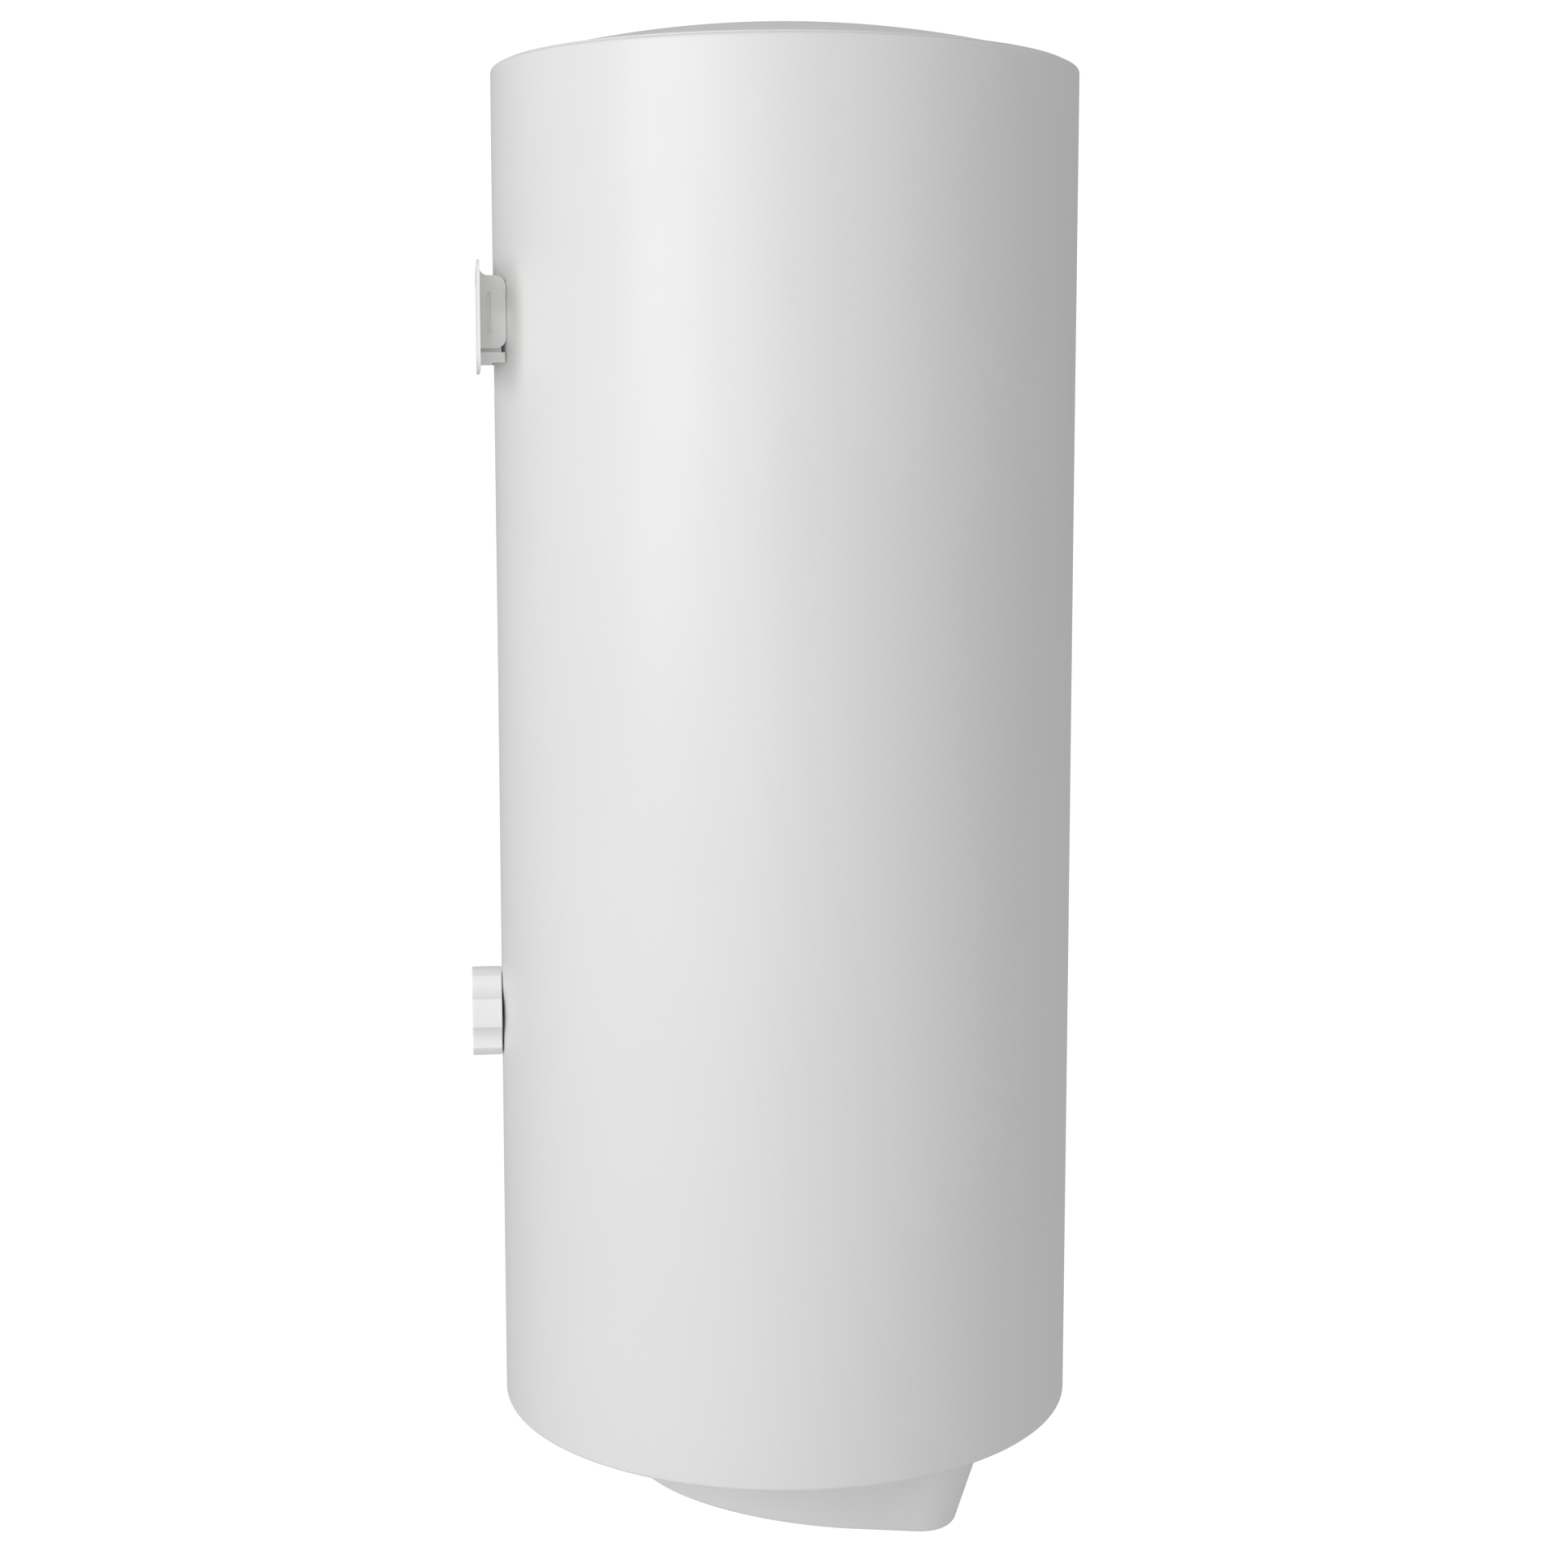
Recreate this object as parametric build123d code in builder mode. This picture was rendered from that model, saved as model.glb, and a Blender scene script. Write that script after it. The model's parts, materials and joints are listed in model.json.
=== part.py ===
"""Wall-hung vertical electric storage water heater, in millimetres.

The origin is the centre of the wall bracket's two slots, on the face that lies against the wall
fixings. +Z is up, +Y points into the wall, -Y faces the room and +X is to the right of someone who
stands in the room. Distances called "front" are measured from the tank's axis toward the room.
"""

import os
from math import pi, radians, tan

from build123d import *

os.makedirs("parts", exist_ok=True)

# ---------------------------------------------------------------- driving dimensions

# Jacket, lid and bottom pan
jacket_radius = 252.5
sheet = 0.8
rim_radius = 3.5
top_rim_z = 211.0
bottom_rim_z = -954.5
axis_y = -267.0
top_lip_radius = 238.0
bottom_lip_radius = 232.0
dome_base_radius = 246.0
dome_height = 35.0
pan_sheet = 1.0
pan_radius = 248.5
pan_opening_radius = 80.0

# Tank
tank_radius = 220.0
tank_wall = 2.0
tank_low_z = -880.0
tank_high_z = 130.0
dish_height = 50.0

# Flange under the tank
collar_bore_radius = 48.0
collar_neck_radius = 56.0
flange_radius = 75.0
flange_pitch_radius = 65.0
flange_count = 6
collar_face_z = -942.0
collar_high_z = -915.0
collar_thickness = 6.0
gasket_thickness = 3.0
plate_thickness = 5.0

# Immersed pieces
element_radius = 4.25
element_spread = 24.0
element_front = 24.0
element_length = 400.0
well_radius = 8.0
well_length = 300.0
well_place = (8.0, -14.0)
anode_radius = 11.0
anode_length = 330.0
anode_place = (-32.0, -16.0)

# Water pipes, 22 mm nipples with G1/2 ends
pipe_radius = 11.0
thread_radius = 10.48
pipe_bore_radius = 7.5
pipe_spread = 50.0
pipe_front = -175.0
pipe_end_z = -985.0
thread_high_z = -961.0
nipple_high_z = -878.0
riser_high_z = 132.0

# Thermostat, earth stud and terminal block
body_depth = 32.0
body_back, body_front = -36.0, 8.0
body_left, body_right = -20.0, 36.0
dial_place = (8.0, -14.0)
button_place = (27.0, -25.0)
earth_front = 42.0
block_back, block_front = 100.0, 118.0
block_half_width = 30.0
block_low_z, block_high_z = -990.0, -968.0
block_screw_spread = 24.0
block_screw_z = -979.0
wire_radius = 1.4

# Service cover
cover_wall = 2.5
cover_gap = 0.3
cover_centre_front = 47.0
cover_depth_back = 72.0
cover_depth_front = 99.5
cover_edge_radius = 8.0
cover_half_width = 140.0
cover_side_draft = 6.0
cover_corner_radius = 43.0
cover_back, cover_front = -152.0, 171.0
cover_low_back, cover_low_front = -131.0, 137.5
screw_places = ((108.0, 75.0), (-108.0, 75.0), (62.0, -88.0), (-62.0, -88.0))
gland_z = -985.0
gland_bore_radius = 4.5
gland_seat_y = -116.5
gland_seat_depth = 12.5
lens_z = -983.0
lens_inner_front = 152.0

# Wall bracket
bracket_sheet = 2.5
flange_width = 250.0
flange_height = 90.0
slot_spacing = 200.0
slot_width = 12.0
slot_length = 24.0
box_half_width = 71.0
box_high_z = 34.5
box_low_z = -25.7
hem_low_z = -37.3
hem_high_z = -28.9
groove_y = -10.1
groove_z = 4.0
groove_width = 3.2
groove_height = 34.0
groove_depth = 1.3
saddle_y = -14.2
saddle_edge_y = -24.2
boss_spread = 30.0
boss_rise = 14.0
boss_radius = 10.0
boss_tank_y = -54.0
bracket_boss_y = -19.0
spacer_boss_y = -16.5

# Stand-off knob
spacer_z = -605.0
knob_radius = 39.0
knob_inner_y = -14.2
knob_wall_y = 11.5
knob_lobes = 5
knob_turn = 9.0
scallop_radius = 16.0
scallop_distance = 48.5
recess_y = 3.0
stud_radius = 5.0

# ---------------------------------------------------------------- values worked out from them

jacket_height = top_rim_z - bottom_rim_z
jacket_mid_z = (top_rim_z + bottom_rim_z) / 2
pan_low_z = bottom_rim_z + sheet
pan_high_z = pan_low_z + pan_sheet
gasket_low_z = collar_face_z - gasket_thickness
plate_low_z = gasket_low_z - plate_thickness
cover_high_z = pan_low_z - cover_gap
dome_radius = (dome_base_radius**2 + dome_height**2) / (2 * dome_height)
dish_radius = (tank_radius**2 + dish_height**2) / (2 * dish_height)
cover_low_z = bottom_rim_z - cover_depth_front
head_seat_z = cover_high_z - 6
gland_inner_y = gland_seat_y - gland_seat_depth
boss_centre_z = (box_high_z + box_low_z) / 2
boss_places = [
    (x, z)
    for x in (-boss_spread, boss_spread)
    for z in (boss_centre_z - boss_rise, boss_centre_z + boss_rise)
]

tank_axis = Axis((0, axis_y, 0), (0, 0, 1))
half_section = Plane(origin=(0, axis_y, 0), x_dir=(1, 0, 0), z_dir=(0, -1, 0))
pieces = {}


def level(z):
    """Horizontal plane at height z, centred on the tank, whose local y points to the front."""
    return Plane(origin=(0, axis_y, z), x_dir=(-1, 0, 0), z_dir=(0, 0, 1))


def place(x, front):
    """Local point of a level plane for a global x and a distance in front of the tank's axis."""
    return (-x, front)


def wall_plane(y):
    """Upright plane at a global y, facing the wall, whose local x is -X and local y is +Z."""
    return Plane(origin=(0, y, 0), x_dir=(-1, 0, 0), z_dir=(0, 1, 0))


def disc(radius, low_z, high_z, at=(0.0, 0.0), mode=Mode.ADD):
    """Upright round bar between two heights, at a place (x, front)."""
    with BuildSketch(level(low_z)) as profile:
        with Locations(place(*at)):
            Circle(radius)
    extrude(profile.sketch, amount=high_z - low_z, mode=mode)


def tube(inner, outer, low_z, high_z, at=(0.0, 0.0)):
    """Upright tube between two heights, at a place (x, front)."""
    with BuildSketch(level(low_z)) as profile:
        with Locations(place(*at)):
            Circle(outer)
            Circle(inner, mode=Mode.SUBTRACT)
    extrude(profile.sketch, amount=high_z - low_z)


def hex_nut(across_flats, bore, low_z, high_z, at=(0.0, 0.0)):
    """Upright hexagon nut between two heights, at a place (x, front)."""
    with BuildSketch(level(low_z)) as profile:
        with Locations(place(*at)):
            RegularPolygon(across_flats / 2, 6, major_radius=False)
            Circle(bore, mode=Mode.SUBTRACT)
    extrude(profile.sketch, amount=high_z - low_z)


def wall_bar(radius, low_y, high_y, at, mode=Mode.ADD):
    """Round bar along Y between two depths, at a point (x, z)."""
    with BuildSketch(wall_plane(low_y)) as profile:
        with Locations((-at[0], at[1])):
            Circle(radius)
    extrude(profile.sketch, amount=high_y - low_y, mode=mode)


def cap(radius, wall, base_radius, centre_z, low_z, high_z, mode=Mode.ADD):
    """Part of a spherical shell about the tank's axis between two heights, or solid with no wall."""
    with BuildSketch(half_section) as profile:
        with Locations((0, centre_z)):
            Circle(radius)
            if wall:
                Circle(radius - wall, mode=Mode.SUBTRACT)
        with Locations((base_radius / 2, (low_z + high_z) / 2)):
            Rectangle(base_radius, high_z - low_z, mode=Mode.INTERSECT)
    revolve(profile.sketch, axis=tank_axis, mode=mode)


def flange_circle():
    """Places of the flange studs, as (x, front)."""
    spots = PolarLocations(flange_pitch_radius, flange_count)
    return [(spot.position.X, spot.position.Y) for spot in spots.local_locations]


# ---------------------------------------------------------------- jacket, lid, pan

# The jacket's sheet is rolled inward at both rims.
with BuildPart() as outer_jacket:
    for inset, mode in ((0, Mode.ADD), (sheet, Mode.SUBTRACT)):
        with BuildSketch(half_section) as skin:
            with Locations(((jacket_radius - inset) / 2, jacket_mid_z)):
                Rectangle(jacket_radius - inset, jacket_height - 2 * inset)
            fillet(skin.vertices().group_by(Axis.X)[-1], rim_radius - inset)
        revolve(axis=tank_axis, mode=mode)
    disc(top_lip_radius, top_rim_z - 5, top_rim_z + 5, mode=Mode.SUBTRACT)
    disc(bottom_lip_radius, bottom_rim_z - 5, bottom_rim_z + 5, mode=Mode.SUBTRACT)
    for spot in boss_places:
        wall_bar(5.5, -40, 0, spot, mode=Mode.SUBTRACT)
    wall_bar(stud_radius + 1, -40, 0, (0, spacer_z), mode=Mode.SUBTRACT)
pieces["outer_jacket"] = outer_jacket

# The lid stands on the jacket's upper lip.
with BuildPart() as top_cover:
    apex_z = top_rim_z + dome_height
    cap(dome_radius, sheet, dome_base_radius, apex_z - dome_radius, top_rim_z, apex_z)
pieces["top_cover"] = top_cover

# The pan rests inside the jacket's lower lip, with holes for the flange, pipes and rivet nuts.
with BuildPart() as bottom_pan:
    tube(pan_opening_radius, pan_radius, pan_low_z, pan_high_z)
    for x in (-pipe_spread, pipe_spread):
        disc(14, pan_low_z, pan_high_z, (x, pipe_front), Mode.SUBTRACT)
    for spot in screw_places:
        disc(3.45, pan_low_z, pan_high_z, spot, Mode.SUBTRACT)
pieces["bottom_pan"] = bottom_pan

# ---------------------------------------------------------------- tank

with BuildPart() as tank_shell:
    tube(tank_radius - tank_wall, tank_radius, tank_low_z, tank_high_z)
pieces["tank_shell"] = tank_shell

with BuildPart() as tank_top_end:
    dish_top_z = tank_high_z + dish_height
    cap(dish_radius, tank_wall, tank_radius, dish_top_z - dish_radius, tank_high_z, dish_top_z)
pieces["tank_top_end"] = tank_top_end

with BuildPart() as tank_bottom_end:
    dish_low_z = tank_low_z - dish_height
    cap(dish_radius, tank_wall, tank_radius, dish_low_z + dish_radius, dish_low_z, tank_low_z)
    disc(collar_neck_radius + 0.05, dish_low_z - 5, tank_low_z, mode=Mode.SUBTRACT)
    for x in (-pipe_spread, pipe_spread):
        disc(pipe_radius + 0.05, dish_low_z, tank_low_z, (x, pipe_front), Mode.SUBTRACT)
pieces["tank_bottom_end"] = tank_bottom_end

# ---------------------------------------------------------------- flange

with BuildPart() as flange_collar:
    tube(collar_bore_radius, collar_neck_radius, collar_face_z, collar_high_z)
    tube(collar_bore_radius, flange_radius, collar_face_z, collar_face_z + collar_thickness)
    for spot in flange_circle():
        disc(4.05, collar_face_z, collar_face_z + collar_thickness, spot, Mode.SUBTRACT)
pieces["flange_collar"] = flange_collar

with BuildPart() as flange_gasket:
    tube(collar_bore_radius + 1, 60, gasket_low_z, collar_face_z)
pieces["flange_gasket"] = flange_gasket

with BuildPart() as flange_plate:
    disc(flange_radius, plate_low_z, gasket_low_z)
    for spot in flange_circle():
        disc(4.3, plate_low_z, gasket_low_z, spot, Mode.SUBTRACT)
    for x in (-element_spread, element_spread):
        disc(element_radius + 0.05, plate_low_z, gasket_low_z, (x, element_front), Mode.SUBTRACT)
    disc(well_radius + 0.05, plate_low_z, gasket_low_z, well_place, Mode.SUBTRACT)
    disc(5.55, plate_low_z, gasket_low_z, anode_place, Mode.SUBTRACT)
pieces["flange_plate"] = flange_plate

nut_low_z = plate_low_z - 1.6 - 6.5
with BuildPart() as flange_studs:
    for spot in flange_circle():
        disc(4, nut_low_z - 4, collar_face_z + collar_thickness, spot)
pieces["flange_studs"] = flange_studs

with BuildPart() as flange_washers:
    for spot in flange_circle():
        tube(4.3, 8, plate_low_z - 1.6, plate_low_z, spot)
pieces["flange_washers"] = flange_washers

with BuildPart() as flange_nuts:
    for spot in flange_circle():
        hex_nut(13, 4.05, nut_low_z, plate_low_z - 1.6, spot)
pieces["flange_nuts"] = flange_nuts

# ---------------------------------------------------------------- heater, thermostat, anode

sheath_low_z = plate_low_z - 5
pin_high_z = sheath_low_z - 4
pin_low_z = pin_high_z - 11

# One hairpin of sheathed element, its legs through the flange plate.
with BuildPart() as heating_element:
    element_plane = Plane(
        origin=(0, axis_y - element_front, 0), x_dir=(1, 0, 0), z_dir=(0, -1, 0)
    )
    bend_z = plate_low_z + element_length - element_spread
    with BuildLine(element_plane) as hairpin:
        Line((-element_spread, sheath_low_z), (-element_spread, bend_z))
        CenterArc((0, bend_z), element_spread, 180, -180)
        Line((element_spread, bend_z), (element_spread, sheath_low_z))
    with BuildSketch(level(sheath_low_z)):
        with Locations(place(-element_spread, element_front)):
            Circle(element_radius)
    sweep(path=hairpin.wires()[0])
pieces["heating_element"] = heating_element

with BuildPart() as element_insulators:
    for x in (-element_spread, element_spread):
        tube(1.85, element_radius, pin_high_z, sheath_low_z, (x, element_front))
pieces["element_insulators"] = element_insulators

with BuildPart() as element_pins:
    for x in (-element_spread, element_spread):
        disc(1.8, pin_low_z, sheath_low_z, (x, element_front))
pieces["element_pins"] = element_pins

# Closed pocket that stands in the water and holds the thermostat's rod.
with BuildPart() as thermowell:
    well_high_z = plate_low_z + well_length
    disc(well_radius, plate_low_z, well_high_z, well_place)
    disc(well_radius - 1.5, plate_low_z, well_high_z - 2, well_place, Mode.SUBTRACT)
    fillet(thermowell.edges().group_by(Axis.Z)[-1], 3)
pieces["thermowell"] = thermowell

body_high_z = plate_low_z - 2
body_low_z = body_high_z - body_depth

with BuildPart() as thermostat_rod:
    disc(3.5, body_high_z, well_high_z - 15, well_place)
pieces["thermostat_rod"] = thermostat_rod

with BuildPart() as thermostat_body:
    with BuildSketch(level(body_low_z)) as body_outline:
        with Locations(place((body_left + body_right) / 2, (body_back + body_front) / 2)):
            RectangleRounded(body_right - body_left, body_front - body_back, 5)
    extrude(amount=body_high_z - body_low_z)
    chamfer(thermostat_body.faces().sort_by(Axis.Z)[0].edges(), 1)
    tube(3.55, 6.4, body_high_z, plate_low_z, well_place)
    disc(3.3, body_low_z, body_low_z + 8, dial_place, Mode.SUBTRACT)
    disc(3.3, body_low_z, body_low_z + 8, button_place, Mode.SUBTRACT)
pieces["thermostat_body"] = thermostat_body

# Setting dial: a skirted knob with a screwdriver slot and a pointer rib toward the front.
with BuildPart() as thermostat_dial:
    dial_high_z = body_low_z - 0.3
    disc(11, dial_high_z - 2, dial_high_z, dial_place)
    disc(8, dial_high_z - 7, dial_high_z - 2, dial_place)
    chamfer(thermostat_dial.edges().group_by(Axis.Z)[0], 0.8)
    disc(3, dial_high_z, body_low_z + 6, dial_place)
    with BuildSketch(level(dial_high_z - 7)):
        with Locations(place(*dial_place)):
            Rectangle(1.6, 11)
    extrude(amount=1.5, mode=Mode.SUBTRACT)
    with BuildSketch(level(dial_high_z - 3)):
        with Locations(place(dial_place[0], dial_place[1] + 9.3)):
            Rectangle(1.4, 2.6)
    extrude(amount=1)
pieces["thermostat_dial"] = thermostat_dial

# Safety cut-out's reset button.
with BuildPart() as cutout_reset_button:
    disc(3, body_low_z - 3.5, body_low_z + 5, button_place)
    fillet(cutout_reset_button.edges().group_by(Axis.Z)[0], 0.8)
pieces["cutout_reset_button"] = cutout_reset_button

# Brass links from the thermostat's front face to the element's pins.
link_z = pin_high_z - 5
with BuildPart() as terminal_links:
    for x, inner_x in ((-element_spread, -14.0), (element_spread, 26.0)):
        with BuildSketch(level(link_z)):
            with BuildLine():
                Polyline(
                    place(inner_x - 3, body_front),
                    place(x - 3.5, element_front),
                    place(x - 3.5, element_front + 4),
                    place(x + 3.5, element_front + 4),
                    place(x + 3.5, element_front),
                    place(inner_x + 3, body_front),
                    close=True,
                )
            make_face()
            with Locations(place(x, element_front)):
                Circle(1.85, mode=Mode.SUBTRACT)
        extrude(amount=0.8)
pieces["terminal_links"] = terminal_links

anode_low_z = plate_low_z + plate_thickness + 6
with BuildPart() as anode_rod:
    disc(anode_radius, anode_low_z, anode_low_z + anode_length, anode_place)
    disc(4.05, anode_low_z, anode_low_z + 60, anode_place, Mode.SUBTRACT)
pieces["anode_rod"] = anode_rod

with BuildPart() as anode_insulator:
    tube(4.05, 5.5, plate_low_z - 1.5, gasket_low_z, anode_place)
    tube(4.05, 9, gasket_low_z, anode_low_z, anode_place)
    tube(4.05, 8, plate_low_z - 1.5, plate_low_z, anode_place)
pieces["anode_insulator"] = anode_insulator

with BuildPart() as anode_stud:
    disc(4, plate_low_z - 11, anode_low_z + 60, anode_place)
pieces["anode_stud"] = anode_stud

with BuildPart() as anode_nut:
    hex_nut(13, 4.05, plate_low_z - 8, plate_low_z - 1.5, anode_place)
pieces["anode_nut"] = anode_nut

# ---------------------------------------------------------------- water pipes

with BuildPart() as cold_inlet_pipe:
    tube(pipe_bore_radius, thread_radius, pipe_end_z, thread_high_z, (pipe_spread, pipe_front))
    tube(pipe_bore_radius, pipe_radius, thread_high_z, nipple_high_z, (pipe_spread, pipe_front))
pieces["cold_inlet_pipe"] = cold_inlet_pipe

# The outlet's riser takes the hottest water from just under the tank's top.
with BuildPart() as hot_outlet_pipe:
    hot_place = (-pipe_spread, pipe_front)
    tube(pipe_bore_radius, thread_radius, pipe_end_z, thread_high_z, hot_place)
    tube(pipe_bore_radius, pipe_radius, thread_high_z, nipple_high_z, hot_place)
    tube(pipe_bore_radius, pipe_bore_radius + 1, nipple_high_z, riser_high_z, hot_place)
pieces["hot_outlet_pipe"] = hot_outlet_pipe

# Cap over the inlet that turns the cold stream sideways.
with BuildPart() as inlet_diffuser:
    diffuser_place = (pipe_spread, pipe_front)
    diffuser_low_z = nipple_high_z - 4
    disc(14, diffuser_low_z, nipple_high_z + 23, diffuser_place)
    disc(pipe_radius + 0.05, diffuser_low_z, nipple_high_z, diffuser_place, Mode.SUBTRACT)
    disc(pipe_radius + 0.5, nipple_high_z, nipple_high_z + 20, diffuser_place, Mode.SUBTRACT)
    fillet(inlet_diffuser.edges().group_by(Axis.Z)[-1], 2)
    with BuildSketch(level(nipple_high_z + 5)):
        with Locations(place(*diffuser_place)):
            Rectangle(30, 7)
            Rectangle(7, 30)
    extrude(amount=10, mode=Mode.SUBTRACT)
pieces["inlet_diffuser"] = inlet_diffuser

for ring_name, ring_x in (("cold_water_ring", pipe_spread), ("hot_water_ring", -pipe_spread)):
    with BuildPart() as water_ring:
        tube(pipe_radius + 0.05, 17, pan_low_z - 3, pan_low_z, (ring_x, pipe_front))
        fillet(water_ring.edges().group_by(Axis.Z)[0].sort_by(SortBy.RADIUS)[-1:], 1.5)
        tube(pipe_radius + 0.05, 13.5, pan_low_z, pan_high_z + 4, (ring_x, pipe_front))
    pieces[ring_name] = water_ring

# ---------------------------------------------------------------- electrical pieces

with BuildPart() as earth_stud:
    disc(2.5, plate_low_z - 10, plate_low_z, (0, earth_front))
pieces["earth_stud"] = earth_stud

lug_barrel_z = plate_low_z - 2.7
with BuildPart() as earth_lug:
    tube(2.55, 5.5, plate_low_z - 1, plate_low_z, (0, earth_front))
    with BuildSketch(level(plate_low_z - 1)):
        with Locations(place(0, earth_front + 8)):
            Rectangle(3.6, 6.5)
    extrude(amount=1)
    wall_bar(2.2, axis_y - earth_front - 18, axis_y - earth_front - 9, (0, lug_barrel_z))
pieces["earth_lug"] = earth_lug

with BuildPart() as earth_nut:
    hex_nut(8, 2.55, plate_low_z - 5, plate_low_z - 1, (0, earth_front))
pieces["earth_nut"] = earth_nut

bracket_front = block_front + 1.5
block_screw_places = ((-block_screw_spread, block_screw_z), (block_screw_spread, block_screw_z))

# Angle that hangs the terminal block from the pan, with a window for the lamp.
with BuildPart() as terminal_bracket:
    with BuildSketch(level(block_low_z)):
        with Locations(place(0, (block_front + bracket_front) / 2)):
            Rectangle(2 * block_half_width + 6, bracket_front - block_front)
    extrude(amount=pan_low_z - block_low_z)
    with BuildSketch(level(pan_low_z - 1.5)):
        with Locations(place(0, block_front - 9)):
            Rectangle(2 * block_half_width + 6, 21)
    extrude(amount=1.5)
    lamp_place = (0, block_screw_z)
    wall_bar(4.6, axis_y - bracket_front, axis_y - block_front, lamp_place, Mode.SUBTRACT)
    for spot in block_screw_places:
        wall_bar(2.1, axis_y - bracket_front, axis_y - block_front, spot, Mode.SUBTRACT)
pieces["terminal_bracket"] = terminal_bracket

# Three-way terminal block: a base with a moulded barrier each side of every way.
with BuildPart() as terminal_block:
    with BuildSketch(level(block_low_z + 5)):
        with Locations(place(0, (block_back + block_front) / 2)):
            Rectangle(2 * block_half_width, block_front - block_back)
    extrude(amount=block_high_z - block_low_z - 5)
    with BuildSketch(level(block_low_z)):
        for x in (-29, -9, 9, 29):
            with Locations(place(x, (block_back + block_front) / 2)):
                Rectangle(2, block_front - block_back)
    extrude(amount=5)
    for spot in block_screw_places:
        wall_bar(2.1, axis_y - block_front, axis_y - block_back, spot, Mode.SUBTRACT)
pieces["terminal_block"] = terminal_block

with BuildPart() as terminal_screws:
    for spot in block_screw_places:
        wall_bar(2, axis_y - bracket_front - 2, axis_y - block_back, spot)
        wall_bar(3.8, axis_y - bracket_front - 2, axis_y - bracket_front, spot)
pieces["terminal_screws"] = terminal_screws

clamp_low_z = block_low_z + 2
with BuildPart() as wire_clamps:
    for x in (-18, 0, 18):
        disc(3, clamp_low_z, block_low_z + 5, (x, (block_back + block_front) / 2))
        with BuildSketch(level(clamp_low_z)):
            with Locations(place(x, (block_back + block_front) / 2)):
                Rectangle(5, 0.9)
        extrude(amount=1, mode=Mode.SUBTRACT)
pieces["wire_clamps"] = wire_clamps

with BuildPart() as indicator_lamp:
    wall_bar(4, axis_y - block_front - 9, axis_y - block_front, lamp_place)
    fillet(indicator_lamp.edges().group_by(Axis.Y)[0], 2.5)
pieces["indicator_lamp"] = indicator_lamp

# Held wires: straight runs joined by tangent arcs, from the block's back face.
wire_routes = {
    "wire_live": ((-12, 100, -976), (-12, 78, -976), (-9, 53, -979), (-7, 30, -974), (-7, 8, -974)),
    "wire_neutral": ((12, 100, -976), (12, 78, -976), (13, 53, -979), (14, 30, -974), (14, 8, -974)),
    "wire_earth": ((0, 100, -976), (0, 88, -976), (0, 72, lug_barrel_z), (0, 60, lug_barrel_z)),
}
for wire_name, route in wire_routes.items():
    points = [Vector(x, axis_y - front, z) for x, front, z in route]
    runs = [after - before for before, after in zip(points, points[1:])]
    radii = []
    for first, second in zip(runs, runs[1:]):
        half_turn = radians(first.get_angle(second) / 2)
        radii.append(0.45 * min(first.length, second.length) / tan(half_turn))
    print(wire_name, "bend radii", [round(radius) for radius in radii])
    with BuildPart() as wire:
        with BuildLine() as wire_path:
            FilletPolyline(*points, radius=radii)
        with BuildSketch(Plane(origin=points[0], z_dir=runs[0])):
            Circle(wire_radius)
        sweep(path=wire_path.wires()[0])
    straight_volume = pi * wire_radius**2 * wire_path.wires()[0].length
    print(wire_name, "volume ratio", round(wire.part.volume / straight_volume, 4))
    pieces[wire_name] = wire

# ---------------------------------------------------------------- service cover


def cover_plan(z, back, half_width, front, corner):
    """D-shaped plan: half an ellipse at the back, straight sides and a rounded straight front."""
    centre = cover_centre_front
    with BuildSketch(level(z)) as plan:
        with BuildLine():
            EllipticalCenterArc(
                (0, centre), half_width, centre - back, start_angle=180, arc_size=180
            )
            FilletPolyline(
                (half_width, centre),
                (half_width, front),
                (-half_width, front),
                (-half_width, centre),
                radius=corner,
            )
        make_face()
    return plan.sketch


def cover_block(inset):
    """The cover's drafted D with its falling underside, or with an inset the space inside it."""
    high = cover_plan(
        cover_high_z,
        cover_back + inset,
        cover_half_width - inset,
        cover_front - inset,
        cover_corner_radius - inset,
    )
    low = cover_plan(
        cover_low_z - 5,
        cover_low_back + inset,
        cover_half_width - cover_side_draft - inset,
        cover_low_front - inset,
        cover_corner_radius - inset,
    )
    slope = (cover_depth_front - cover_depth_back) / (cover_low_front - cover_low_back)
    underside = Plane(
        origin=(0, axis_y - cover_low_front, cover_low_z + inset),
        x_dir=(1, 0, 0),
        z_dir=(0, -slope, 1),
    )
    with BuildPart() as block:
        loft(sections=[high, low])
        split(bisect_by=underside, keep=Keep.TOP)
        fillet(block.faces().sort_by(Axis.Z)[0].edges(), cover_edge_radius - inset)
    return block.part


cover_form = cover_block(0)

# Solid posts under the screws, trimmed to the cover's form.
with BuildPart() as cover_posts:
    for spot in screw_places:
        disc(6.5, cover_low_z, cover_high_z, spot)
    add(cover_form, mode=Mode.INTERSECT)

# The form hollowed from above, with its posts, a flat seat for the gland and a hole for the lens.
with BuildPart() as electrical_cover:
    add(cover_form)
    add(cover_block(cover_wall), mode=Mode.SUBTRACT)
    add(cover_posts.part)
    for spot in screw_places:
        disc(4.4, cover_low_z - 5, head_seat_z, spot, Mode.SUBTRACT)
        disc(2.35, head_seat_z, cover_high_z, spot, Mode.SUBTRACT)
    wall_bar(14, gland_inner_y, gland_seat_y, (0, gland_z))
    wall_bar(8.1, gland_inner_y - 1, gland_seat_y + 1, (0, gland_z), Mode.SUBTRACT)
    wall_bar(4.05, axis_y - cover_front, axis_y - block_front, (0, lens_z), Mode.SUBTRACT)
pieces["electrical_cover"] = electrical_cover

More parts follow.
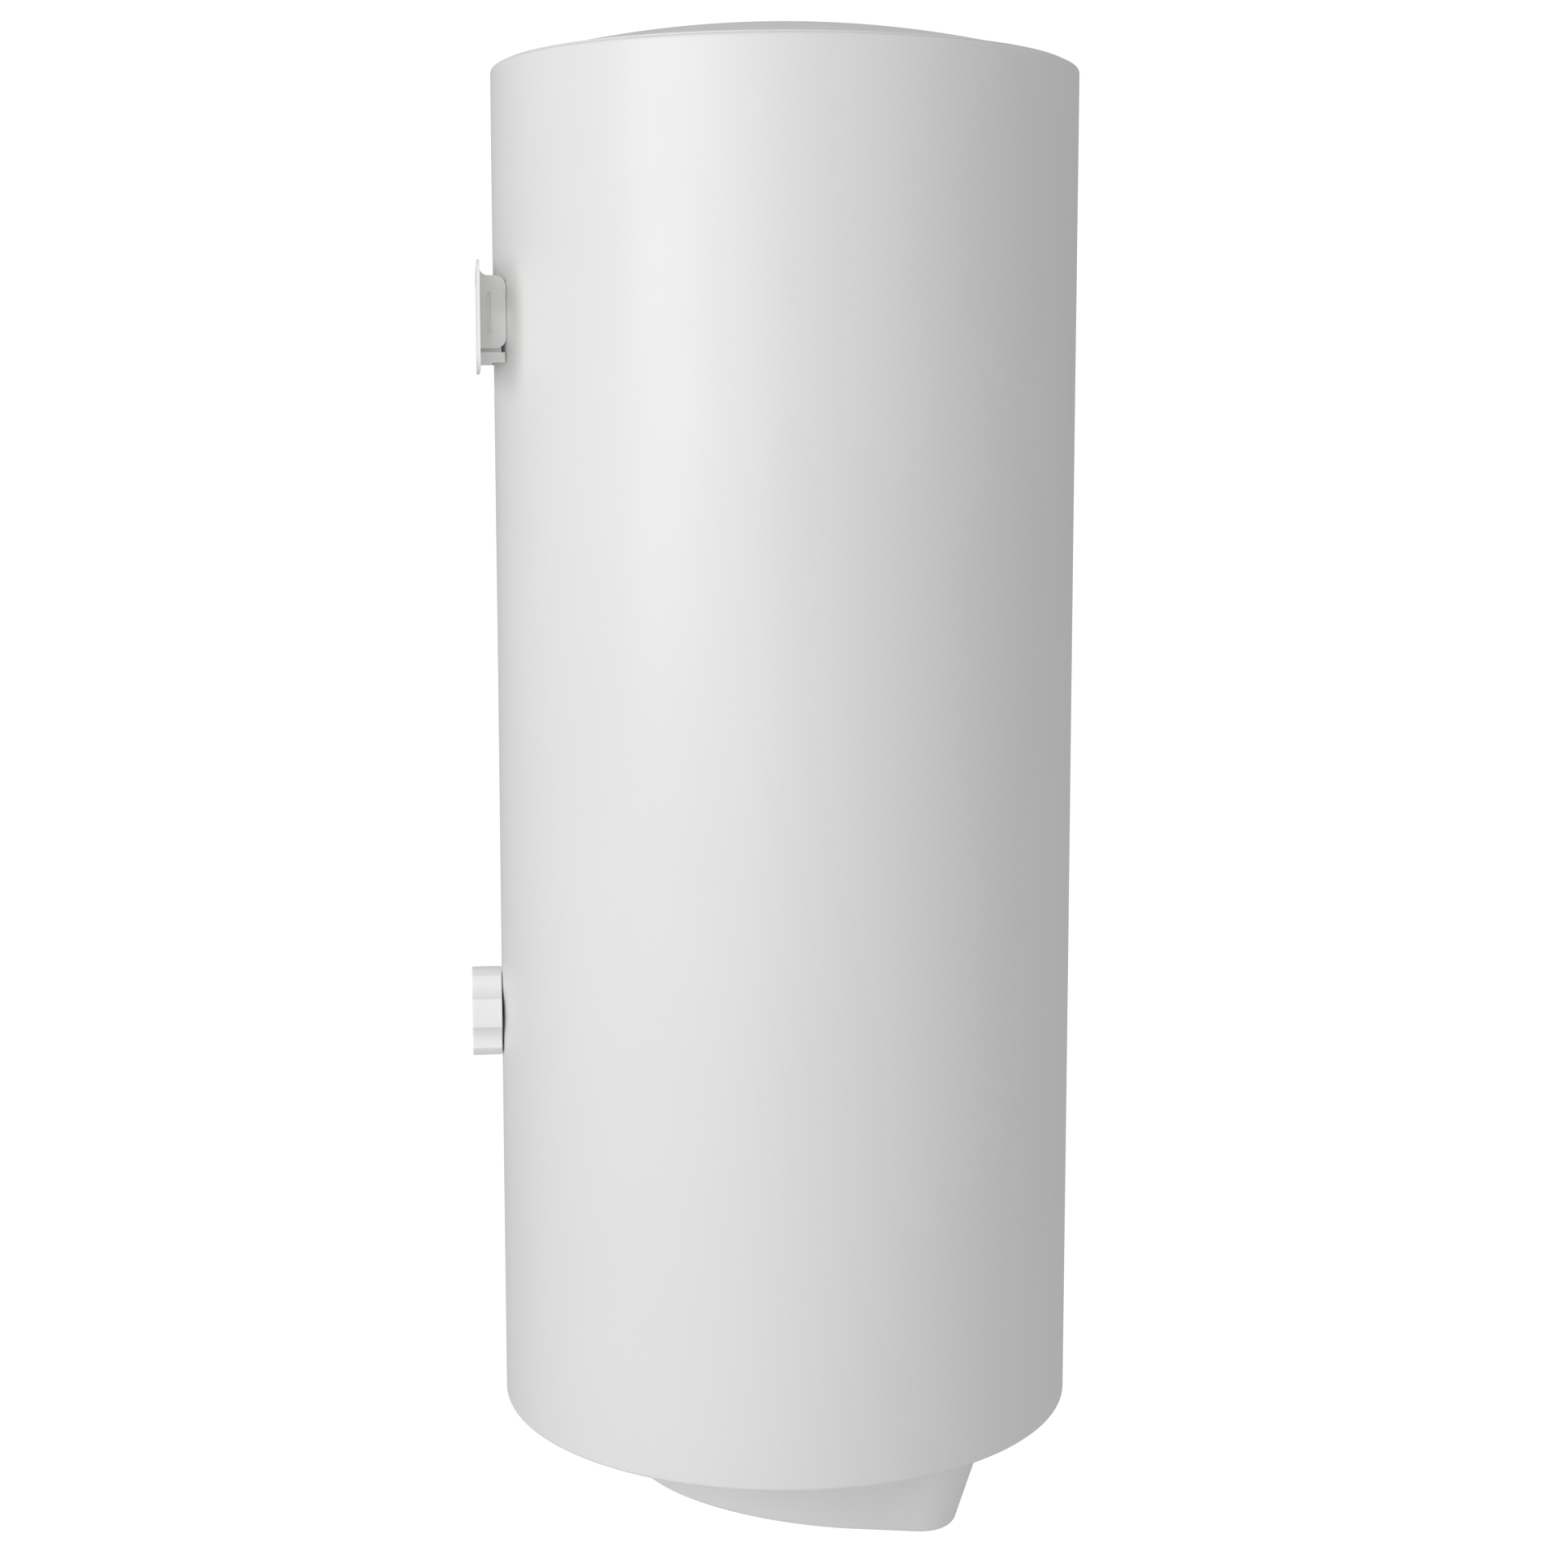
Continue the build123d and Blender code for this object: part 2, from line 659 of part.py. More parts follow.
with BuildPart() as cover_screws:
    for spot in screw_places:
        disc(3.9, head_seat_z - 2.6, head_seat_z, spot)
        disc(2, head_seat_z, pan_high_z + 8, spot)
        with BuildSketch(level(head_seat_z - 2.6)):
            with Locations(place(*spot)):
                Rectangle(4.4, 1)
                Rectangle(1, 4.4)
        extrude(amount=1.4, mode=Mode.SUBTRACT)
pieces["cover_screws"] = cover_screws

with BuildPart() as pan_rivet_nuts:
    for spot in screw_places:
        tube(2.35, 5.5, pan_high_z, pan_high_z + 0.9, spot)
        tube(2.35, 3.4, pan_low_z, pan_high_z + 12, spot)
pieces["pan_rivet_nuts"] = pan_rivet_nuts

# Gland body: a threaded sleeve through the seat, a hexagon collar and a domed clamping nut.
with BuildPart() as cable_gland:
    wall_bar(8, gland_inner_y - 7, gland_seat_y, (0, gland_z))
    with BuildSketch(wall_plane(gland_seat_y)):
        with Locations((0, gland_z)):
            RegularPolygon(11, 6, major_radius=False)
    extrude(amount=4)
    wall_bar(10.2, gland_seat_y + 4, gland_seat_y + 15, (0, gland_z))
    fillet(cable_gland.edges().group_by(Axis.Y)[-1], 3)
    wall_bar(gland_bore_radius, gland_inner_y - 8, gland_seat_y + 16, (0, gland_z), Mode.SUBTRACT)
pieces["cable_gland"] = cable_gland

with BuildPart() as gland_locknut:
    with BuildSketch(wall_plane(gland_inner_y - 4)):
        with Locations((0, gland_z)):
            RegularPolygon(11, 6, major_radius=False)
            Circle(8.05, mode=Mode.SUBTRACT)
    extrude(amount=4)
pieces["gland_locknut"] = gland_locknut

# The lens follows the cover's outer face.
with BuildPart() as indicator_lens:
    wall_bar(4, axis_y - cover_front, axis_y - lens_inner_front, (0, lens_z))
    add(cover_form, mode=Mode.INTERSECT)
pieces["indicator_lens"] = indicator_lens

# ---------------------------------------------------------------- wall bracket


def box_slab(inset, mouth_y, low_z, high_z, mode=Mode.ADD):
    """A layer of the bracket's box, its floor cranked to clear the jacket, drawn inset on all sides."""
    side = box_half_width - inset
    edge_y = saddle_edge_y + inset
    with BuildSketch(Plane.XY.offset(low_z)) as plan:
        with BuildLine():
            Polyline(
                (-side, mouth_y),
                (-side, edge_y),
                (-boss_spread - 10, saddle_y + inset),
                (boss_spread + 10, saddle_y + inset),
                (side, edge_y),
                (side, mouth_y),
                close=True,
            )
        make_face()
    extrude(plan.sketch, amount=high_z - low_z, mode=mode)


def pressed_box(inset, mouth_y):
    """The bracket's box, rounded where it nears the jacket, or with an inset the space inside it."""
    side = box_half_width - inset
    edge_y = saddle_edge_y + inset
    with BuildPart() as block:
        box_slab(inset, mouth_y, box_low_z + inset, box_high_z - inset)
        with BuildSketch(Plane.YZ.offset(-side)) as side_view:
            with Locations(((edge_y + mouth_y) / 2, boss_centre_z)):
                Rectangle(mouth_y - edge_y, box_high_z - box_low_z - 2 * inset)
            fillet(side_view.vertices().group_by(Axis.X)[0], 9 - inset)
        extrude(amount=2 * side, mode=Mode.INTERSECT)
    return block.part


# A pressed box with its mouth to the wall, a stepped hem under it and a slotted flange all round.
with BuildPart() as wall_bracket:
    add(pressed_box(0, 0))
    box_slab(1, 0, hem_low_z, hem_high_z)
    box_slab(4, 0, hem_high_z, box_low_z + 1)
    with BuildSketch(wall_plane(-bracket_sheet)):
        RectangleRounded(flange_width, flange_height, 16)
    extrude(amount=bracket_sheet)
    bends = wall_bracket.edges().filter_by(lambda edge: abs(edge.center().Y + bracket_sheet) < 0.01)
    fillet(bends.filter_by(lambda edge: abs(edge.center().Z - box_high_z) < 0.01), 7)
    fillet(bends.filter_by(lambda edge: abs(edge.center().Z - hem_low_z) < 0.01), 3)
    add(pressed_box(bracket_sheet, 1), mode=Mode.SUBTRACT)
    box_slab(4 + bracket_sheet, 1, hem_low_z + bracket_sheet, box_low_z + 5, Mode.SUBTRACT)
    with BuildSketch(wall_plane(-bracket_sheet)):
        with Locations((-slot_spacing / 2, 0), (slot_spacing / 2, 0)):
            SlotOverall(slot_length, slot_width)
    extrude(amount=bracket_sheet, mode=Mode.SUBTRACT)
    for side in (-1, 1):
        with BuildSketch(Plane.YZ.offset(side * box_half_width)) as groove:
            with Locations((groove_y, groove_z)):
                SlotOverall(groove_height, groove_width, rotation=90)
        extrude(groove.sketch, amount=-side * groove_depth, mode=Mode.SUBTRACT)
    for spot in boss_places:
        wall_bar(5.3, saddle_y - 1, saddle_y + bracket_sheet + 1, spot, Mode.SUBTRACT)
pieces["wall_bracket"] = wall_bracket

# Sleeves welded to the tank that carry the bracket through the foam.
with BuildPart() as bracket_bosses:
    for spot in boss_places:
        wall_bar(boss_radius, boss_tank_y, bracket_boss_y, spot)
        wall_bar(5.05, boss_tank_y, bracket_boss_y, spot, Mode.SUBTRACT)
    disc(tank_radius + 0.02, -40, 40, mode=Mode.SUBTRACT)
pieces["bracket_bosses"] = bracket_bosses

with BuildPart() as bracket_bolts:
    head_y = saddle_y + bracket_sheet
    for spot in boss_places:
        wall_bar(5, -44, head_y, spot)
        with BuildSketch(wall_plane(head_y)):
            with Locations((-spot[0], spot[1])):
                RegularPolygon(8, 6, major_radius=False)
        extrude(amount=6.4)
pieces["bracket_bolts"] = bracket_bolts

# ---------------------------------------------------------------- stand-off knob

with BuildPart() as spacer_boss:
    wall_bar(boss_radius, boss_tank_y, spacer_boss_y, (0, spacer_z))
    wall_bar(stud_radius + 0.3, boss_tank_y, spacer_boss_y, (0, spacer_z), Mode.SUBTRACT)
    disc(tank_radius + 0.02, spacer_z - 20, spacer_z + 20, mode=Mode.SUBTRACT)
pieces["spacer_boss"] = spacer_boss

# Hexagon screw whose head lies in the knob's recess.
with BuildPart() as spacer_stud:
    wall_bar(stud_radius, -45, recess_y + 0.3, (0, spacer_z))
    chamfer(spacer_stud.edges().group_by(Axis.Y)[0], 1)
    with BuildSketch(wall_plane(recess_y + 0.3)):
        with Locations((0, spacer_z)):
            RegularPolygon(8.5, 6, major_radius=False)
    extrude(amount=6.4)
pieces["spacer_stud"] = spacer_stud

# Five rounded lobes between hollow scallops, with pockets and the screw's recess on the wall side.
with BuildPart() as spacer_knob:
    knob_centre = Location((0, spacer_z))
    with BuildSketch(wall_plane(knob_inner_y)) as star:
        with Locations(knob_centre):
            Circle(knob_radius)
            with PolarLocations(scallop_distance, knob_lobes, start_angle=knob_turn + 36):
                Circle(scallop_radius, mode=Mode.SUBTRACT)
        fillet(star.vertices(), 2)
    extrude(amount=knob_wall_y - knob_inner_y)
    fillet(spacer_knob.faces().sort_by(Axis.Y)[-1].edges(), 1.2)
    fillet(spacer_knob.faces().sort_by(Axis.Y)[0].edges(), 1.2)
    with BuildSketch(wall_plane(recess_y)):
        with Locations(knob_centre):
            Circle(14)
    extrude(amount=knob_wall_y - recess_y, mode=Mode.SUBTRACT)
    with BuildSketch(wall_plane(-4)):
        with Locations(knob_centre):
            with PolarLocations(25, knob_lobes, start_angle=knob_turn):
                Circle(6.5)
    extrude(amount=knob_wall_y + 4, mode=Mode.SUBTRACT)
    wall_bar(stud_radius + 0.05, knob_inner_y, recess_y, (0, spacer_z), Mode.SUBTRACT)
pieces["spacer_knob"] = spacer_knob

# ---------------------------------------------------------------- insulation

# Foam fills the jacket around the tank and leaves room for everything that passes through it.
with BuildPart() as insulation_foam:
    foam_low_z = pan_high_z + 0.1
    disc(jacket_radius - sheet - 0.2, foam_low_z, top_rim_z - sheet - 0.1)
    fillet(insulation_foam.edges(), rim_radius)
    disc(tank_radius + 0.1, tank_low_z, tank_high_z, mode=Mode.SUBTRACT)
    for centre_z, low_z, high_z in (
        (dish_top_z - dish_radius, tank_high_z, dish_top_z + 1),
        (dish_low_z + dish_radius, dish_low_z - 1, tank_low_z),
    ):
        cap(dish_radius + 0.1, 0, tank_radius, centre_z, low_z, high_z, Mode.SUBTRACT)
    disc(pan_opening_radius, foam_low_z, collar_face_z + 8, mode=Mode.SUBTRACT)
    disc(collar_neck_radius + 0.1, collar_face_z, dish_low_z + 10, mode=Mode.SUBTRACT)
    for x in (-pipe_spread, pipe_spread):
        disc(13.6, foam_low_z, tank_low_z, (x, pipe_front), Mode.SUBTRACT)
    for spot in screw_places:
        disc(5.6, foam_low_z, pan_high_z + 13, spot, Mode.SUBTRACT)
    for spot in (*boss_places, (0, spacer_z)):
        wall_bar(boss_radius + 0.1, boss_tank_y - 6, 0, spot, Mode.SUBTRACT)
pieces["insulation_foam"] = insulation_foam

# ---------------------------------------------------------------- files

for name, block in pieces.items():
    block.part.label = name
    export_step(block.part, f"parts/{name}.step")
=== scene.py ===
"""Finishes, fine sheet work and studio for a wall-hung electric storage water heater."""

import json
import math

import bmesh
import bpy
from mathutils import Matrix, Vector


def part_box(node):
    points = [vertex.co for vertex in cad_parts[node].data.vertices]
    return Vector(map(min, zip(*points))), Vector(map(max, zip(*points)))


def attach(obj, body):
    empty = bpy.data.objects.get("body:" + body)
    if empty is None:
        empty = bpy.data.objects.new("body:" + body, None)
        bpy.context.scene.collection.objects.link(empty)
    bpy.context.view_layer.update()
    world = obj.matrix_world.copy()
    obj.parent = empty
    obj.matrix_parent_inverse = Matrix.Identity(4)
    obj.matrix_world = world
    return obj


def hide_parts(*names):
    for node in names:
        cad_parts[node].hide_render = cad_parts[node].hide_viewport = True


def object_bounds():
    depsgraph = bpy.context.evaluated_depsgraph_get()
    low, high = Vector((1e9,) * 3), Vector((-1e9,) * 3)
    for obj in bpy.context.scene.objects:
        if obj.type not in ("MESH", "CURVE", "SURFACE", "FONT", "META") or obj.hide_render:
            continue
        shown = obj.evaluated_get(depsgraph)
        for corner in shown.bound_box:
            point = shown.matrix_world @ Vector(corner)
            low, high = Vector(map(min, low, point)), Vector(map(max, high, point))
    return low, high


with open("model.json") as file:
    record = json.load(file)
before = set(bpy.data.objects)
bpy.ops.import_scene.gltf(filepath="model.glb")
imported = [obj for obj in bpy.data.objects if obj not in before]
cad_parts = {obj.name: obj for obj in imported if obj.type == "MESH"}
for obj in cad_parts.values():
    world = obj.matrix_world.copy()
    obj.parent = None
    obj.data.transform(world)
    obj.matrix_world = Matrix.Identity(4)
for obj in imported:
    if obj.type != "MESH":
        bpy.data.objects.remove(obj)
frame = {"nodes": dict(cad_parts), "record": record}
cad_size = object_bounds()

jacket_low, jacket_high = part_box("outer_jacket")
lid_low, lid_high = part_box("top_cover")
heater_low, heater_high = cad_size
tank_axis = Vector(((jacket_low.x + jacket_high.x) / 2, (jacket_low.y + jacket_high.y) / 2, 0))
jacket_radius = (jacket_high.x - jacket_low.x) / 2
sheet = 0.0008
rim_roll = 0.0035
top_lip_radius = 0.238
bottom_lip_radius = 0.232
hole_radius = 0.0058
drill_length = 0.05
drill_depth = 0.012
bolt_head_reach = 0.00924
bolt_head_radius = 0.008
hem_radius = 0.0011
edge_break = 0.0004
floor_drop = 0.38
studio_white = 1.05

# ---------------------------------------------------------------- camera

# The eye is at the height of the bracket, a little over two metres to the heater's left.
eye = Vector((-2.235, 0.011, -0.0785))
heading = Vector((0.9930, -0.1232, 0)).normalized()
downward = math.radians(6.55)
gaze = heading * math.cos(downward) - Vector((0, 0, math.sin(downward)))

lens = bpy.data.cameras.new("studio_camera")
lens.lens = 58.7
lens.shift_y = -0.05
lens.clip_end = 60
camera = bpy.data.objects.new("studio_camera", lens)
camera.location = eye
camera.rotation_euler = gaze.to_track_quat("-Z", "Y").to_euler()
bpy.context.scene.collection.objects.link(camera)
bpy.context.scene.camera = camera
bpy.context.scene.view_settings.view_transform = "Standard"

# ---------------------------------------------------------------- node helpers


def put(tree, kind, **values):
    """A node of that kind, with its inputs set by name."""
    made = tree.nodes.new(kind)
    for name, value in values.items():
        made.inputs[name.replace("_", " ")].default_value = value
    return made


def join(tree, source, target):
    """Links an output socket to an input socket."""
    tree.links.new(source, target)


def effect(name, inputs, outputs):
    """An empty node group with named sockets, and its input and output nodes."""
    tree = bpy.data.node_groups.new(name, "ShaderNodeTree")
    for label, kind, value in inputs:
        socket = tree.interface.new_socket(label, in_out="INPUT", socket_type=kind)
        socket.default_value = value
    for label, kind in outputs:
        tree.interface.new_socket(label, in_out="OUTPUT", socket_type=kind)
    return tree, tree.nodes.new("NodeGroupInput"), tree.nodes.new("NodeGroupOutput")


def cloud(tree, where, scale, detail=2.0, roughness=0.5):
    """Soft noise between 0 and 1 over the piece, scale in features per metre."""
    noise = put(tree, "ShaderNodeTexNoise", Scale=scale, Detail=detail, Roughness=roughness)
    join(tree, where, noise.inputs["Vector"])
    return noise.outputs["Fac"]


def stretch(tree, value, from_low, from_high, to_low, to_high):
    """A value carried from one range to another, clamped."""
    spread = put(
        tree,
        "ShaderNodeMapRange",
        From_Min=from_low,
        From_Max=from_high,
        To_Min=to_low,
        To_Max=to_high,
    )
    join(tree, value, spread.inputs["Value"])
    return spread.outputs["Result"]


def blend_colour(tree, share, first, second, kind="MIX"):
    """Colour between two colours, each a socket or a value."""
    mix = tree.nodes.new("ShaderNodeMix")
    mix.data_type = "RGBA"
    mix.blend_type = kind
    for source, target in ((share, mix.inputs[0]), (first, mix.inputs[6]), (second, mix.inputs[7])):
        if isinstance(source, bpy.types.NodeSocket):
            join(tree, source, target)
        else:
            target.default_value = source
    return mix.outputs[2]


def calculate(tree, kind, first, second):
    """One arithmetic step on two values, each a socket or a number."""
    step = tree.nodes.new("ShaderNodeMath")
    step.operation = kind
    for source, target in ((first, step.inputs[0]), (second, step.inputs[1])):
        if isinstance(source, bpy.types.NodeSocket):
            join(tree, source, target)
        else:
            target.default_value = source
    return step.outputs[0]


def raise_surface(tree, height, depth, under=None):
    """Normal of a surface raised by a height between 0 and 1 times a depth in metres."""
    bump = put(tree, "ShaderNodeBump", Strength=1.0)
    join(tree, height, bump.inputs["Height"])
    if isinstance(depth, bpy.types.NodeSocket):
        join(tree, depth, bump.inputs["Distance"])
    else:
        bump.inputs["Distance"].default_value = depth
    if under is not None:
        join(tree, under, bump.inputs["Normal"])
    return bump.outputs["Normal"]


# ---------------------------------------------------------------- shared effects

COLOUR, NUMBER, DIRECTION = "NodeSocketColor", "NodeSocketFloat", "NodeSocketVector"


def make_sprayed_coat():
    """Sprayed paint: orange peel over rippled sheet, with faint changes of tone and gloss."""
    tree, given, made = effect(
        "sprayed_coat",
        [
            ("Colour", COLOUR, (0.8, 0.8, 0.8, 1)),
            ("Peel Height", NUMBER, 0.00001),
            ("Ripple Height", NUMBER, 0.0001),
            ("Roughness", NUMBER, 0.4),
        ],
        [("Colour", COLOUR), ("Roughness", NUMBER), ("Normal", DIRECTION)],
    )
    where = tree.nodes.new("ShaderNodeTexCoord").outputs["Object"]
    ripple = raise_surface(tree, cloud(tree, where, 5.5, 1.0), given.outputs["Ripple Height"])
    peel = raise_surface(tree, cloud(tree, where, 620, 3.0), given.outputs["Peel Height"], ripple)
    tone = stretch(tree, cloud(tree, where, 3.1, 4.0), 0.3, 0.7, 0.975, 1.0)
    speck = put(tree, "ShaderNodeTexVoronoi", Scale=46.0, Randomness=1.0)
    join(tree, where, speck.inputs["Vector"])
    nib = stretch(tree, speck.outputs["Distance"], 0.012, 0.03, 0.93, 1.0)
    shade = calculate(tree, "MULTIPLY", tone, nib)
    colour = blend_colour(tree, 1.0, given.outputs["Colour"], shade, "MULTIPLY")
    gloss = stretch(tree, cloud(tree, where, 14, 3.0), 0.3, 0.7, -0.035, 0.035)
    join(tree, colour, made.inputs["Colour"])
    join(
        tree,
        calculate(tree, "ADD", gloss, given.outputs["Roughness"]),
        made.inputs["Roughness"],
    )
    join(tree, peel, made.inputs["Normal"])
    return tree


def make_moulded_grain():
    """Spark-eroded mould grain, with its pits painted slightly darker as shade, and slow flow
    marks, for injection-moulded plastics.
    """
    tree, given, made = effect(
        "moulded_grain",
        [
            ("Colour", COLOUR, (0.8, 0.8, 0.8, 1)),
            ("Grain Height", NUMBER, 0.00001),
            ("Roughness", NUMBER, 0.45),
        ],
        [("Colour", COLOUR), ("Roughness", NUMBER), ("Normal", DIRECTION)],
    )
    where = tree.nodes.new("ShaderNodeTexCoord").outputs["Object"]
    grain = cloud(tree, where, 1700, 2.0, 0.6)
    flow = cloud(tree, where, 9, 3.0)
    slow = raise_surface(tree, flow, 0.0001)
    tone = stretch(tree, flow, 0.3, 0.7, 0.965, 1.0)
    # The grain's low spots are painted up to 1.5% darker: painted shade in the pits.
    pit_shade = stretch(tree, grain, 0.3, 0.7, 0.985, 1.0)
    shade = calculate(tree, "MULTIPLY", tone, pit_shade)
    gloss = stretch(tree, cloud(tree, where, 60, 3.0), 0.3, 0.7, -0.04, 0.04)
    colour = blend_colour(tree, 1.0, given.outputs["Colour"], shade, "MULTIPLY")
    join(tree, colour, made.inputs["Colour"])
    join(
        tree,
        calculate(tree, "ADD", gloss, given.outputs["Roughness"]),
        made.inputs["Roughness"],
    )
    join(
        tree,
        raise_surface(tree, grain, given.outputs["Grain Height"], slow),
        made.inputs["Normal"],
    )
    return tree


def make_settled_dust():
    """Fine dust that lies on faces turned up, in uneven patches."""
    tree, given, made = effect(
        "settled_dust",
        [
            ("Colour", COLOUR, (0.8, 0.8, 0.8, 1)),
            ("Dust Colour", COLOUR, (0.56, 0.54, 0.5, 1)),
            ("Amount", NUMBER, 0.1),
        ],
        [("Colour", COLOUR), ("Cover", NUMBER)],
    )
    where = tree.nodes.new("ShaderNodeTexCoord").outputs["Object"]
    facing = tree.nodes.new("ShaderNodeSeparateXYZ")
    shape = tree.nodes.new("ShaderNodeNewGeometry")
    join(tree, shape.outputs["Normal"], facing.inputs["Vector"])
    up = stretch(tree, facing.outputs["Z"], 0.45, 0.98, 0.0, 1.0)
    patch = stretch(tree, cloud(tree, where, 26, 5.0, 0.6), 0.35, 0.75, 0.2, 1.0)
    cover = calculate(tree, "MULTIPLY", up, patch)
    cover = calculate(tree, "MULTIPLY", cover, given.outputs["Amount"])
    colour = blend_colour(tree, cover, given.outputs["Colour"], given.outputs["Dust Colour"])
    join(tree, colour, made.inputs["Colour"])
    join(tree, cover, made.inputs["Cover"])
    return tree


def make_edge_highlight_and_wear():
    """Outer corners given another colour, broken up by noise; on paint and plastic this is a
    painted highlight, on bare metal rubbed bright wear.
    """
    tree, given, made = effect(
        "edge_highlight_and_wear",
        [
            ("Colour", COLOUR, (0.5, 0.5, 0.5, 1)),
            ("Bare Colour", COLOUR, (0.8, 0.8, 0.8, 1)),
            ("Amount", NUMBER, 0.5),
        ],
        [("Colour", COLOUR), ("Cover", NUMBER)],
    )
    where = tree.nodes.new("ShaderNodeTexCoord").outputs["Object"]
    shape = tree.nodes.new("ShaderNodeNewGeometry")
    # Convex corners take the edge colour: a painted highlight on paint and plastic, rubbed bright
    # wear on bare metal.
    corner = stretch(tree, shape.outputs["Pointiness"], 0.51, 0.58, 0.0, 1.0)
    broken = stretch(tree, cloud(tree, where, 240, 4.0, 0.7), 0.38, 0.62, 0.1, 1.0)
    cover = calculate(tree, "MULTIPLY", corner, broken)
    cover = calculate(tree, "MULTIPLY", cover, given.outputs["Amount"])
    colour = blend_colour(tree, cover, given.outputs["Colour"], given.outputs["Bare Colour"])
    join(tree, colour, made.inputs["Colour"])
    join(tree, cover, made.inputs["Cover"])
    return tree


def make_worked_metal():
    """Bare metal with crystal patches, fine drawing lines and a little dulling."""
    tree, given, made = effect(
        "worked_metal",
        [
            ("Colour", COLOUR, (0.6, 0.6, 0.6, 1)),
            ("Dull Colour", COLOUR, (0.4, 0.4, 0.4, 1)),
            ("Line Scale", NUMBER, 400.0),
            ("Line Height", NUMBER, 0.00001),
            ("Roughness", NUMBER, 0.35),
        ],
        [("Colour", COLOUR), ("Roughness", NUMBER), ("Normal", DIRECTION)],
    )
    where = tree.nodes.new("ShaderNodeTexCoord").outputs["Object"]
    drawn = tree.nodes.new("ShaderNodeMapping")
    drawn.inputs["Scale"].default_value = (1.0, 1.0, 0.08)
    join(tree, where, drawn.inputs["Vector"])
    lines = put(tree, "ShaderNodeTexNoise", Detail=3.0, Roughness=0.6)
    join(tree, drawn.outputs["Vector"], lines.inputs["Vector"])
    join(tree, given.outputs["Line Scale"], lines.inputs["Scale"])
    crystal = put(tree, "ShaderNodeTexVoronoi", Scale=160.0)
    join(tree, where, crystal.inputs["Vector"])
    flake = tree.nodes.new("ShaderNodeSeparateColor")
    join(tree, crystal.outputs["Color"], flake.inputs["Color"])
    dull = stretch(tree, cloud(tree, where, 55, 5.0, 0.65), 0.35, 0.7, 0.0, 0.85)
    patchy = calculate(tree, "MULTIPLY", flake.outputs["Red"], 0.22)
    cover = calculate(tree, "ADD", dull, patchy)
    colour = blend_colour(tree, cover, given.outputs["Colour"], given.outputs["Dull Colour"])
    gloss = stretch(tree, cover, 0.0, 1.0, -0.06, 0.16)
    join(tree, colour, made.inputs["Colour"])
    join(
        tree,
        calculate(tree, "ADD", gloss, given.outputs["Roughness"]),
        made.inputs["Roughness"],
    )
    join(
        tree,
        raise_surface(tree, lines.outputs["Fac"], given.outputs["Line Height"]),
        made.inputs["Normal"],
    )
    return tree


sprayed_coat = make_sprayed_coat()
moulded_grain = make_moulded_grain()
settled_dust = make_settled_dust()
edge_highlight_and_wear = make_edge_highlight_and_wear()
worked_metal = make_worked_metal()


def use(tree, group, **values):
    """A copy of a shared effect in a material, with its inputs set by name."""
    node = tree.nodes.new("ShaderNodeGroup")
    node.node_tree = group
    for name, value in values.items():
        socket = node.inputs[name.replace("_", " ")]
        if isinstance(value, bpy.types.NodeSocket):
            join(tree, value, socket)
        else:
            socket.default_value = value
    return node


def blank(name):
    """A new node material, its tree and its shader."""
    material = bpy.data.materials.new(name)
    material.use_nodes = True
    return material, material.node_tree, material.node_tree.nodes["Principled BSDF"]


def dress(tree, shader, finish, colour=None):
    """Feeds an effect's colour, roughness and normal to the shader."""
    join(tree, colour or finish.outputs["Colour"], shader.inputs["Base Color"])
    join(tree, finish.outputs["Roughness"], shader.inputs["Roughness"])
    join(tree, finish.outputs["Normal"], shader.inputs["Normal"])


# ---------------------------------------------------------------- finishes


def painted_sheet(name, colour, roughness, peel, ripple, dust):
    """Stoved satin paint on steel sheet, with a clear skin, dust on top and lighter corners that
    are a painted highlight.
    """
    material, tree, shader = blank(name)
    coat = use(
        tree,
        sprayed_coat,
        Colour=colour,
        Peel_Height=peel,
        Ripple_Height=ripple,
        Roughness=roughness,
    )
    # The corners are painted lighter than the coat: a painted highlight.
    highlighted_coat = use(
        tree,
        edge_highlight_and_wear,
        Colour=coat.outputs["Colour"],
        Bare_Colour=(0.93, 0.93, 0.92, 1),
        Amount=0.5,
    )
    dusty = use(tree, settled_dust, Colour=highlighted_coat.outputs["Colour"], Amount=dust)
    dress(tree, shader, coat, dusty.outputs["Colour"])
    shader.inputs["Specular IOR Level"].default_value = 0.5
    shader.inputs["Coat Weight"].default_value = 0.12
    shader.inputs["Coat Roughness"].default_value = 0.22
    return material


def moulded(name, colour, roughness=0.45, grain=0.000012, glow=0.0):
    """Injection-moulded plastic with mould grain, corners painted lighter as a highlight and a
    trace of dust.
    """
    material, tree, shader = blank(name)
    body = use(tree, moulded_grain, Colour=colour, Grain_Height=grain, Roughness=roughness)
    # The lighter corner colour is a painted highlight.
    lighter = tuple(min(1.0, part * 1.15 + 0.03) for part in colour[:3]) + (1,)
    edge = use(
        tree, edge_highlight_and_wear, Colour=body.outputs["Colour"], Bare_Colour=lighter, Amount=0.45
    )
    dusty = use(tree, settled_dust, Colour=edge.outputs["Colour"], Amount=0.06)
    dress(tree, shader, body, dusty.outputs["Colour"])
    shader.inputs["Subsurface Weight"].default_value = glow
    shader.inputs["Subsurface Radius"].default_value = (0.004, 0.004, 0.003)
    shader.inputs["Subsurface Scale"].default_value = 0.5
    return material


